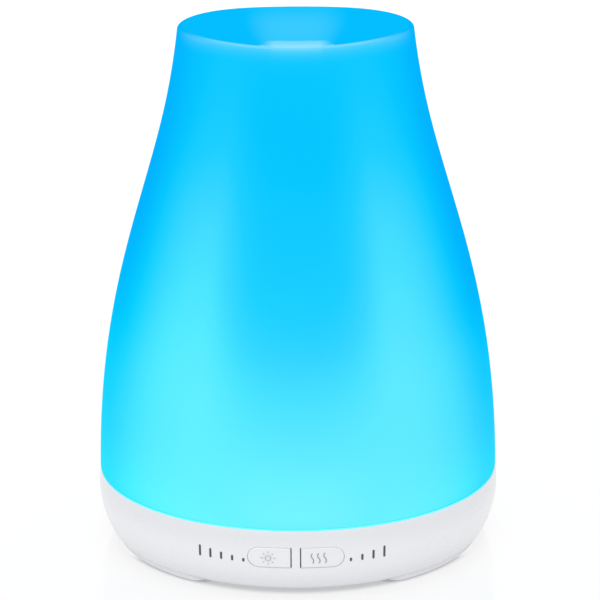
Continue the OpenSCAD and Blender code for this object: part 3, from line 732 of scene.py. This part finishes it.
def make_cover():
    """The cover with its wavy rim and its lip. The dish has a finish of its own."""
    outline, wall_points = cover_outline()
    cover = lathe("cover_shell", outline, cover_turn(), 60)
    shape_rim(cover)
    shape_lip(cover, outline, wall_points)
    light_edges(cover, outline, wall_points)
    cover.data.materials.append(MATERIALS["cover_frost"])
    cover.data.materials.append(MATERIALS["cover_dish"])
    dish_low = CREST_Z - DISH_DEPTH - 0.2 * MM
    dish_r = RIM_R - COVER_WALL * 0.7
    for face in cover.data.polygons:
        centre, normal = face.center, face.normal
        in_dish = centre.z > dish_low and math.hypot(centre.x, centre.y) < dish_r
        inward = normal.x * centre.x + normal.y * centre.y < 0
        if in_dish and (inward or normal.z > 0.5):
            face.material_index = 1
    finish_piece(cover, "cover", "cover_frost", "outer_cover")


# ---------------------------------------------------------------- base


def base_radius(z, inset=0.0):
    """Radius of the base's bulging wall at height z."""
    return BASE_ARC_X + math.sqrt((BASE_ARC_R - inset) ** 2 - (z - BASE_ARC_Z) ** 2)


def base_point(x, z, proud=0.0):
    """Point on the front of the base at x and z, lifted out by proud."""
    r = base_radius(z) + proud
    return Vector((x, -math.sqrt(r * r - x * x), z))


def base_outline():
    """Closed outline of the base: up the outside, over the lip and down the inside."""
    foot, lip = BASE_FOOT_ROUND, BASE_LIP_ROUND
    bottom = base_radius(BASE_BOTTOM + foot * 0.4)
    outline = [(PLATE_R, BASE_BOTTOM), (bottom - foot * 1.6, BASE_BOTTOM)]
    outline += [
        (bottom - foot * 0.75, BASE_BOTTOM + foot * 0.12),
        (bottom - foot * 0.2, BASE_BOTTOM + foot * 0.55),
    ]
    low, high = BASE_BOTTOM + foot * 1.1, BASE_TOP - lip
    outline += [(base_radius(mix(low, high, i / 40)), mix(low, high, i / 40)) for i in range(41)]
    edge = base_radius(high) - lip
    outline += arc((edge, high), lip, 30, 90, 2)
    inner_top = base_radius(BASE_TOP, BASE_WALL)
    outline += [(inner_top, BASE_TOP)]
    outline += [
        (base_radius(mix(BASE_TOP, PLATE_TOP, i / 16), BASE_WALL), mix(BASE_TOP, PLATE_TOP, i / 16))
        for i in range(1, 17)
    ]
    outline += [(PLATE_R, PLATE_TOP)]
    return outline


def button_ring(side, inset, flat_inset=None):
    """Outline of a button as (x, z): flat side by the bar, round end outside."""
    flat_inset = inset if flat_inset is None else flat_inset
    flat_steps, straight_steps, arc_steps = 8, 10, 20
    r = BUTTON_H / 2 - inset
    start = BAR_W / 2 + flat_inset
    end = BAR_W / 2 + BUTTON_W - BUTTON_H / 2
    ring = [(start, mix(r, -r, i / flat_steps)) for i in range(flat_steps + 1)]
    ring += [(mix(start, end, i / straight_steps), -r) for i in range(1, straight_steps)]
    for i in range(arc_steps + 1):
        a = math.radians(mix(-90, 90, i / arc_steps))
        ring.append((end + r * math.cos(a), r * math.sin(a)))
    ring += [(mix(end, start, i / straight_steps), r) for i in range(1, straight_steps)]
    return [(side * x, BUTTON_Z + z) for x, z in ring]


def window_cutter(side):
    """Cuts a button's window through the front wall, a little larger than the button."""
    ring = [(x, -44 * MM, z) for x, z in button_ring(side, -WINDOW_GAP, -FLAT_GAP)]
    return prism("window_cutter", ring, Vector((0, -9 * MM, 0)))


def round_cutter(radius, y0, y1):
    """A cylinder along Y at the height of the power opening."""
    ring = [
        (radius * math.cos(a), y0, PLUG_Z + radius * math.sin(a))
        for a in even_turn(64)
    ]
    return prism("round_cutter", ring, Vector((0, y1 - y0, 0)))


def make_base():
    """The bowl, with its two windows and the stepped power opening at the back."""
    base = lathe("base_bowl", base_outline(), even_turn(256), 40)
    cut_away(base, [
        window_cutter(-1),
        window_cutter(1),
        round_cutter(PLUG_R, 40 * MM, 60 * MM),
        round_cutter(PLUG_R + 1 * MM, PLUG_FACE_Y, 60 * MM),
    ])
    base.data.set_sharp_from_angle(angle=math.radians(40))
    finish_piece(base, "base", "white_shell", "base_shell")


def button_face(x, z, inset):
    """Point on a button's face: it follows the base and rounds off towards its edge."""
    inside_edge = max(BUTTON_EDGE_R - inset, 0)
    drop = BUTTON_EDGE_R - math.sqrt(max(BUTTON_EDGE_R ** 2 - inside_edge ** 2, 0))
    return base_point(x, z, BUTTON_PROUD - drop)


def make_button(name, side, body, node):
    """A cap with a rounded face, and a flange behind the wall that keeps it in its window."""
    flange = [(FLANGE_OUT, FLANGE_BACK), (FLANGE_OUT, FLANGE_FRONT), (0, FLANGE_FRONT)]
    rings = [
        [base_point(x, z, -depth) for x, z in button_ring(side, -out)] for out, depth in flange
    ]
    insets = [mm * MM for mm in (0, 0.04, 0.1, 0.2, 0.3, 0.4, 0.8, 1.3, 1.8, 2.2, 2.45)]
    rings += [[button_face(x, z, inset) for x, z in button_ring(side, inset)] for inset in insets]
    button = join_parts(name, [skin(rings)])
    finish_piece(button, body, "white_shell", node)


# ---------------------------------------------------------------- marks on the buttons and base

ICON_RISE = BUTTON_PROUD + 0.02 * MM
ICON_R = 0.12 * MM
SUN_RING_R = 0.68 * MM
SUN_RAY = (1.15 * MM, 1.5 * MM, 1.85 * MM)
WAVE_HALF_H = 1.4 * MM
WAVE_SWING = 0.3 * MM
WAVE_GAP = 1.5 * MM
INK_LAYER = 0.08 * MM
BAR_HALF_W = 0.28 * MM
BAR_SHORTEST = 0.5 * MM
BAR_TALLEST = 1.5 * MM


def on_face(points):
    """Points (x, z) lifted onto a button's face."""
    return [base_point(x, z, ICON_RISE) for x, z in points]


def make_light_icon():
    """A ring with eight rays, raised on the light button."""
    cx = -BAR_W / 2 - BUTTON_W * 0.52

    def polar(r, a):
        return (cx + r * math.cos(a), BUTTON_Z + r * math.sin(a))

    strokes = [[polar(r, a) for r in SUN_RAY] for a in even_turn(8)]
    strokes.append([polar(SUN_RING_R, a) for a in even_turn(20) + [0.0, 0.1]])
    icon = join_parts("light_icon", [tube(on_face(s), ICON_R) for s in strokes])
    icon.data.materials.append(MATERIALS["icon_light"])
    finish_piece(icon, "light_button", "white_shell")


def make_mist_icon():
    """Three rising wavy lines, raised on the mist button."""
    cx = BAR_W / 2 + BUTTON_W * 0.41
    steps = 14
    strokes = []
    for k in (-1, 0, 1):
        swings = [WAVE_SWING * math.sin(2 * math.pi * i / steps) for i in range(steps + 1)]
        rises = [mix(-WAVE_HALF_H, WAVE_HALF_H, i / steps) for i in range(steps + 1)]
        strokes.append([(cx + k * WAVE_GAP + x, BUTTON_Z + z) for x, z in zip(swings, rises)])
    icon = join_parts("mist_icon", [tube(on_face(s), ICON_R) for s in strokes])
    icon.data.materials.append(MATERIALS["icon_mist"])
    finish_piece(icon, "mist_button", "white_shell")


def printed_bar(arc_x, z, half_w, half_h):
    """A stadium on the base's surface, arc_x along it from the front."""
    straight = half_h - half_w
    ends = [math.radians(a) for a in (0, 20, 40, 60, 80)]
    rows = [(-straight - half_w * math.sin(a), half_w * math.cos(a)) for a in reversed(ends)]
    rows += [(mix(-straight, straight, i / 6), half_w) for i in range(1, 6)]
    rows += [(straight + half_w * math.sin(a), half_w * math.cos(a)) for a in ends]
    columns = 4
    vertices, faces = [], []
    for rise, w in rows:
        r = base_radius(z + rise)
        for j in range(columns + 1):
            a = (arc_x + mix(-w, w, j / columns)) / r
            vertices.append(Vector((r * math.sin(a), -r * math.cos(a), z + rise)))
    for i in range(len(rows) - 1):
        for j in range(columns):
            k = i * (columns + 1) + j
            faces.append((k, k + 1, k + columns + 2, k + columns + 1))
    return vertices, faces


def make_level_mark(name, start_deg, end_deg, count):
    """Printed level bars beside a button, growing away from it."""
    bars = []
    for i in range(count):
        t = i / (count - 1)
        arc_x = math.radians(mix(start_deg, end_deg, t)) * base_radius(BUTTON_Z)
        half_h = mix(BAR_SHORTEST, BAR_TALLEST, t)
        bars.append(printed_bar(arc_x, BUTTON_Z - BAR_TALLEST + half_h, BAR_HALF_W, half_h))
    mark = join_parts(name, bars)
    layer = mark.modifiers.new("layer", "SOLIDIFY")
    layer.thickness = INK_LAYER
    layer.offset = 0
    apply_modifiers(mark)
    mark.data.materials.append(MATERIALS["ink"])
    finish_piece(mark, "base", "rubber_black")


# ---------------------------------------------------------------- feet

FOOT_ANGLES = (60, 180, 300)
FOOT_SPAN = 60
FOOT_INNER_R = 39.5 * MM
FOOT_OUTER_R = 46 * MM
FOOT_EDGE = 0.3 * MM


def foot_ring(centre_deg, z, inset):
    """Outline of a foot at height z: two arcs about the Z axis, joined by round ends."""
    arc_steps, end_steps = 24, 12
    middle, half = (FOOT_INNER_R + FOOT_OUTER_R) / 2, (FOOT_OUTER_R - FOOT_INNER_R) / 2
    half_turn = math.radians(FOOT_SPAN / 2) - half / middle
    half_w = half - inset
    ring = []
    for side in (1, -1):
        for i in range(arc_steps + 1):
            ring.append((middle + side * half_w, side * mix(-half_turn, half_turn, i / arc_steps)))
        for i in range(1, end_steps):
            e = math.radians(90 - 180 * i / end_steps)
            r = middle + side * half_w * math.sin(e)
            ring.append((r, side * (half_turn + half_w * math.cos(e) / r)))
    turned = [(r, a + math.radians(centre_deg)) for r, a in ring]
    return [Vector((r * math.sin(a), -r * math.cos(a), z)) for r, a in turned]


def make_feet():
    """Three arc-shaped rubber pads with rounded ends and edges."""
    edge = FOOT_EDGE
    levels = ((BASE_BOTTOM, 0), (edge, 0), (edge * 0.3, edge * 0.3), (0, edge))
    parts = [skin([foot_ring(centre, z, inset) for z, inset in levels]) for centre in FOOT_ANGLES]
    feet = join_parts("foot_pads", parts, 60)
    finish_piece(feet, "base", "rubber_grey", "rubber_feet")


# ---------------------------------------------------------------- stage, lights and camera


def make_stage():
    """A pale glowing floor with a painted contact shadow that falls only on the viewer's side."""
    half = 6.0
    corners = [(-half, -half, 0), (half, -half, 0), (half, half, 0), (-half, half, 0)]
    mesh = bpy.data.meshes.new("floor")
    mesh.from_pydata(corners, [], [(0, 1, 2, 3)])
    floor = bpy.data.objects.new("floor", mesh)
    bpy.context.scene.collection.objects.link(floor)
    n = Nodes("floor_white")
    colour = n.blend_colour(n.noise(3, 2), srgb(120, 120, 120), srgb(126, 126, 126))
    n.feed(n.shader.inputs["Base Color"], colour)
    n.feed(n.shader.inputs["Roughness"], 0.03)
    n.feed(n.shader.inputs["Specular IOR Level"], 0.9)
    # Painted contact shadow: an occlusion node darkens the floor's glow within 1.9 mm of the object,
    # and the near mask keeps it to the side towards the viewer.
    contact = n.add("ShaderNodeAmbientOcclusion", samples=16)
    contact.inputs["Distance"].default_value = 1.9 * MM
    lit = n.math("MAXIMUM", contact.outputs["AO"], n.smooth(n.near(), 0.6, 0.3))
    glow = n.curve(lit, [(0, 0.1), (0.22, 0.13), (0.34, 0.27), (0.5, 0.46), (0.7, 0.595), (1, 0.643)])
    bounce = n.add("ShaderNodeLightPath").outputs["Is Diffuse Ray"]
    n.feed(n.shader.inputs["Emission Color"], (1, 1, 1, 1))
    n.feed(n.shader.inputs["Emission Strength"], n.blend(bounce, glow, 0.62))
    floor.data.materials.append(n.material)


def add_area(name, place, aim, size, watts):
    """A round soft light at place that points at aim."""
    light = bpy.data.lights.new(name, "AREA")
    light.shape = "DISK"
    light.size = size
    light.energy = watts
    obj = bpy.data.objects.new(name, light)
    bpy.context.scene.collection.objects.link(obj)
    obj.location = place
    obj.rotation_euler = (Vector(aim) - Vector(place)).to_track_quat("-Z", "Y").to_euler()


def make_lights():
    """A soft white room, a little dimmer at the horizon, and softboxes overhead and to the left."""
    world = bpy.data.worlds.new("studio")
    world.use_nodes = True
    tree = world.node_tree
    place = tree.nodes.new("ShaderNodeTexCoord")
    axes = tree.nodes.new("ShaderNodeSeparateXYZ")
    level = tree.nodes.new("ShaderNodeMapRange")
    tree.links.new(place.outputs["Generated"], axes.inputs[0])
    tree.links.new(axes.outputs["Z"], level.inputs["Value"])
    level.inputs["From Max"].default_value = 0.6
    level.inputs["To Min"].default_value = 0.9
    level.inputs["To Max"].default_value = 1.0
    tree.links.new(level.outputs[0], tree.nodes["Background"].inputs["Strength"])
    tree.nodes["Background"].inputs["Color"].default_value = (1, 1, 1, 1)
    bpy.context.scene.world = world
    add_area("top_softbox", (0.0, -0.2, 1.0), (0, 0, 0.05), 0.8, 2)
    add_area("left_softbox", (-0.25, -0.8, 0.45), (0, 0, 0.02), 0.6, 0.6)
    bpy.context.scene.view_settings.view_transform = "Standard"


def make_camera():
    """Looks down at the object from the photograph's height, from the front."""
    target = Vector((CAMERA_AIM_X, 0, (SEAM_Z + BASE_TOP) / 2 + CAMERA_AIM_OVER_SEAM))
    right = Vector((math.cos(CAMERA_AZIMUTH), math.sin(CAMERA_AZIMUTH), 0))
    front = Vector((math.sin(CAMERA_AZIMUTH), -math.cos(CAMERA_AZIMUTH), 0))
    away = front * math.cos(CAMERA_ELEVATION) + Vector((0, 0, math.sin(CAMERA_ELEVATION)))
    up = away.cross(right)
    turned_right = right * math.cos(CAMERA_ROLL) + up * math.sin(CAMERA_ROLL)
    turned_up = up * math.cos(CAMERA_ROLL) - right * math.sin(CAMERA_ROLL)
    data = bpy.data.cameras.new("camera")
    data.sensor_width = CAMERA_SENSOR_MM
    data.lens = CAMERA_LENS_MM
    camera = bpy.data.objects.new("camera", data)
    bpy.context.scene.collection.objects.link(camera)
    rotation = Matrix((turned_right, turned_up, away)).transposed()
    camera.matrix_world = Matrix.Translation(target + away * CAMERA_DISTANCE) @ rotation.to_4x4()
    bpy.context.scene.camera = camera


finish_cad_nodes()
make_cover()
make_base()
make_button("light_button_cap", -1, "light_button", "light_button")
make_button("mist_button_cap", 1, "mist_button", "mist_button")
make_light_icon()
make_mist_icon()
make_level_mark("light_level_mark", -14.4, -27.2, 5)
make_level_mark("mist_level_mark", 15.1, 24.8, 4)
make_feet()
make_stage()
make_lights()
make_camera()
